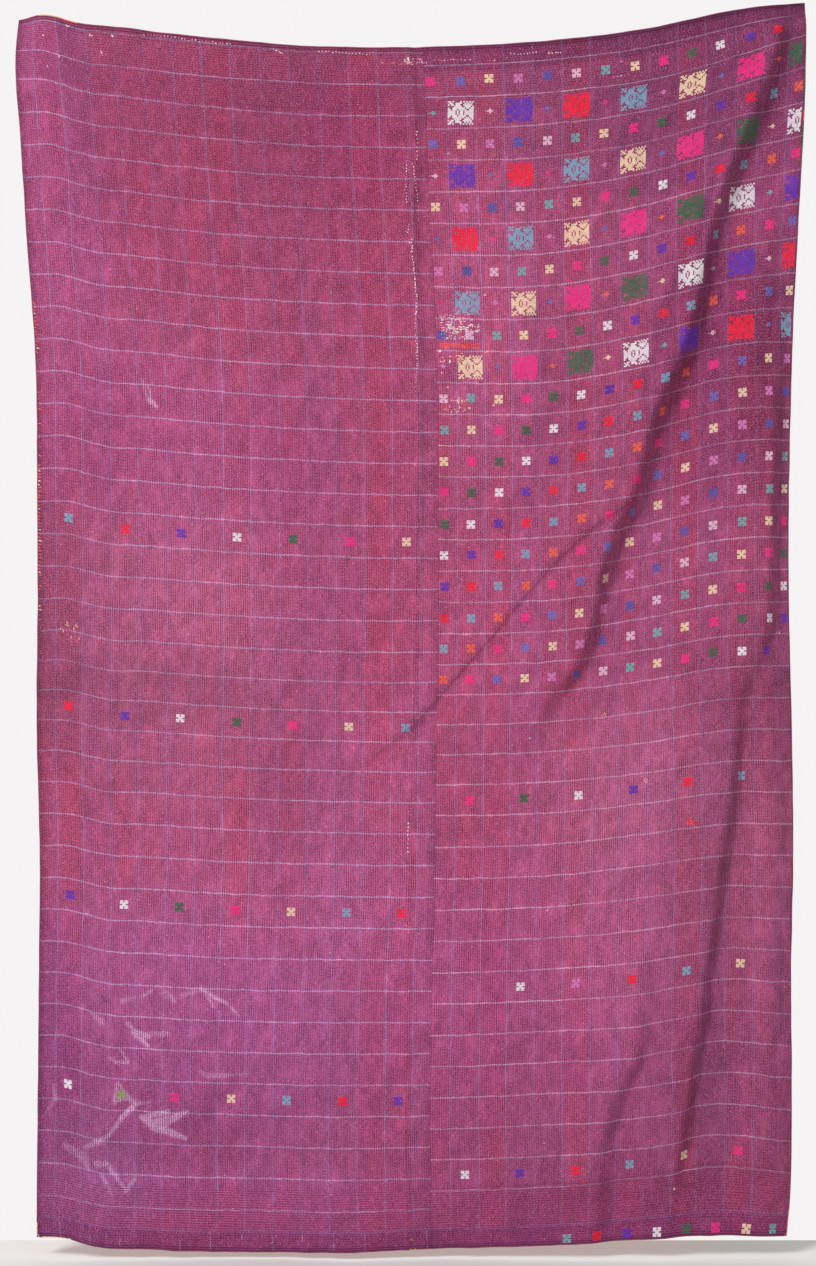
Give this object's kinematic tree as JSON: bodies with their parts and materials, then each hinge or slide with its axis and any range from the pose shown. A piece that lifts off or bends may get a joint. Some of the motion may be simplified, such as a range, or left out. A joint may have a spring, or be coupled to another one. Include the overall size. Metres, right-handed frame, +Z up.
{
  "type": "kantha quilt",
  "caption": "Thin hand-stitched cotton quilt, joined woven front panels with small motifs over a plain backing, hanging in soft folds from its top edge.",
  "frame": {"origin": "middle of the quilt's top edge, where it sags lowest between the corners that it is held by", "axes": "+Z up the quilt's length, +X to the right as seen from the front, and -Y towards someone who faces the front"},
  "size_m": [1.4547, 0.0511, 2.3094],
  "materials": {
    "front_cotton": "matt plum cotton, checked with thin lilac lines, covered in running stitch, with small woven motifs",
    "backing_cotton": "matt rust cotton with a green band down one side, covered in running stitch"
  },
  "bodies": {
    "root": {"front_panel_left": "front_cotton", "front_panel_right": "front_cotton", "backing": "backing_cotton"}
  },
  "joints": []
}
